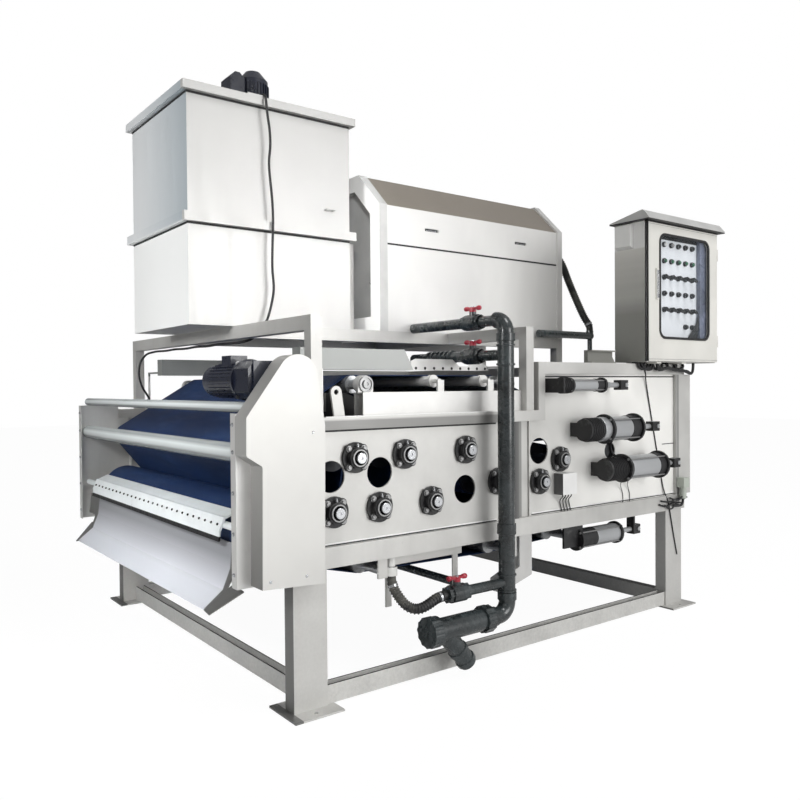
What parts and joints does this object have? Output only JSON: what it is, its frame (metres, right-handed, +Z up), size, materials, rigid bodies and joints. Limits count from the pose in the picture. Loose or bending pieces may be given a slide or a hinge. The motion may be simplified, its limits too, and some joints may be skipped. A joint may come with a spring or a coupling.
{
  "type": "belt filter press",
  "caption": "Belt filter press with a square mixing tank, a drum thickener housing, a control cabinet, pneumatic belt tensioners and wash water pipework on a bolted frame.",
  "frame": {"origin": "centre of the rectangle of the four anchor bolt holes, at floor level", "axes": "+X along the machine away from the discharge end, +Y from the operating side to the back, +Z up"},
  "size_m": [3.701, 2.8438, 3.4],
  "materials": {
    "frame_steel": "bead-blasted stainless steel frame sections",
    "sheet_steel": "bead-blasted stainless steel sheet",
    "roof_steel": "taupe stainless housing sheet",
    "cabinet_steel": "light powder-coated cabinet sheet",
    "belt_fabric": "navy woven polyester filter belt",
    "roller_steel": "stainless roller tube",
    "bearing_iron": "black painted cast iron",
    "motor_paint": "navy black motor enamel",
    "pipe_plastic": "dark grey-green PVC pipe",
    "valve_red": "red moulded lever",
    "glass_clear": "clear window",
    "rubber_black": "black rubber"
  },
  "bodies": {
    "press": {"base_rails_cross": "frame_steel", "base_rails_long": "frame_steel", "bearings_back": "bearing_iron", "bearings_front": "bearing_iron", "cabinet_body": "cabinet_steel", "cabinet_brackets": "cabinet_steel", "cabinet_panel": "cabinet_steel", "cabinet_roof": "cabinet_steel", "columns_back": "frame_steel", "columns_front": "frame_steel", "cross_beams": "frame_steel", "discharge_chute": "sheet_steel", "discharge_drum": "roller_steel", "drain_duct": "sheet_steel", "drive_guard": "sheet_steel", "free_roller": "roller_steel", "gear_motor": "motor_paint", "gravity_table": "sheet_steel", "guide_rollers": "roller_steel", "hood_wall_back": "sheet_steel", "hood_wall_front": "sheet_steel", "junction_box": "sheet_steel", "leg_back_left": "frame_steel", "leg_back_right": "frame_steel", "leg_front_left": "frame_steel", "leg_front_right": "frame_steel", "lower_belt": "belt_fabric", "lower_rail_back": "frame_steel", "lower_rail_front": "frame_steel", "mixer_motor": "motor_paint", "motor_cable": "rubber_black", "press_rollers": "roller_steel", "scraper": "sheet_steel", "side_plates_back": "sheet_steel", "side_plates_front": "sheet_steel", "spray_feed_pipes": "pipe_plastic", "tank_floor": "sheet_steel", "tank_lid": "sheet_steel", "tank_lower": "sheet_steel", "tank_mid_rim": "sheet_steel", "tank_upper": "sheet_steel", "tension_cylinders": "rubber_black", "thickener_end_left": "sheet_steel", "thickener_end_right": "sheet_steel", "thickener_hose": "rubber_black", "thickener_housing": "roof_steel", "tie_bar": "roller_steel", "upper_belt": "belt_fabric", "upper_cross_beams": "frame_steel", "upper_long_beams": "frame_steel", "upper_posts": "frame_steel", "upper_rail_back": "frame_steel", "upper_rail_front": "frame_steel", "wash_hose": "rubber_black", "wash_riser": "pipe_plastic"},
    "cabinet_door": {"cabinet_door": "cabinet_steel", "cabinet_window": "glass_clear"},
    "valve_lever_branch": {"valve_handle_branch": "valve_red"},
    "valve_lever_upper": {"valve_handle_upper": "valve_red"},
    "valve_lever_lower": {"valve_handle_lower": "valve_red"}
  },
  "joints": [
    {"name": "cabinet_door_hinge", "type": "hinge", "parent": "press", "child": "cabinet_door", "pos_m": [1.816, -1.344, 2.1], "axis": [0, 0, 1], "range_deg": [0, 110]},
    {"name": "valve_lever_branch_turn", "type": "hinge", "parent": "press", "child": "valve_lever_branch", "pos_m": [-0.62, -1.35, 0.5], "axis": [0, 0, 1], "range_deg": [0, 90]},
    {"name": "valve_lever_upper_turn", "type": "hinge", "parent": "press", "child": "valve_lever_upper", "pos_m": [-0.26, -1.09, 1.92], "axis": [0, 0, 1], "range_deg": [0, 90]},
    {"name": "valve_lever_lower_turn", "type": "hinge", "parent": "press", "child": "valve_lever_lower", "pos_m": [-0.26, -1.09, 1.73], "axis": [0, 0, 1], "range_deg": [0, 90]}
  ]
}
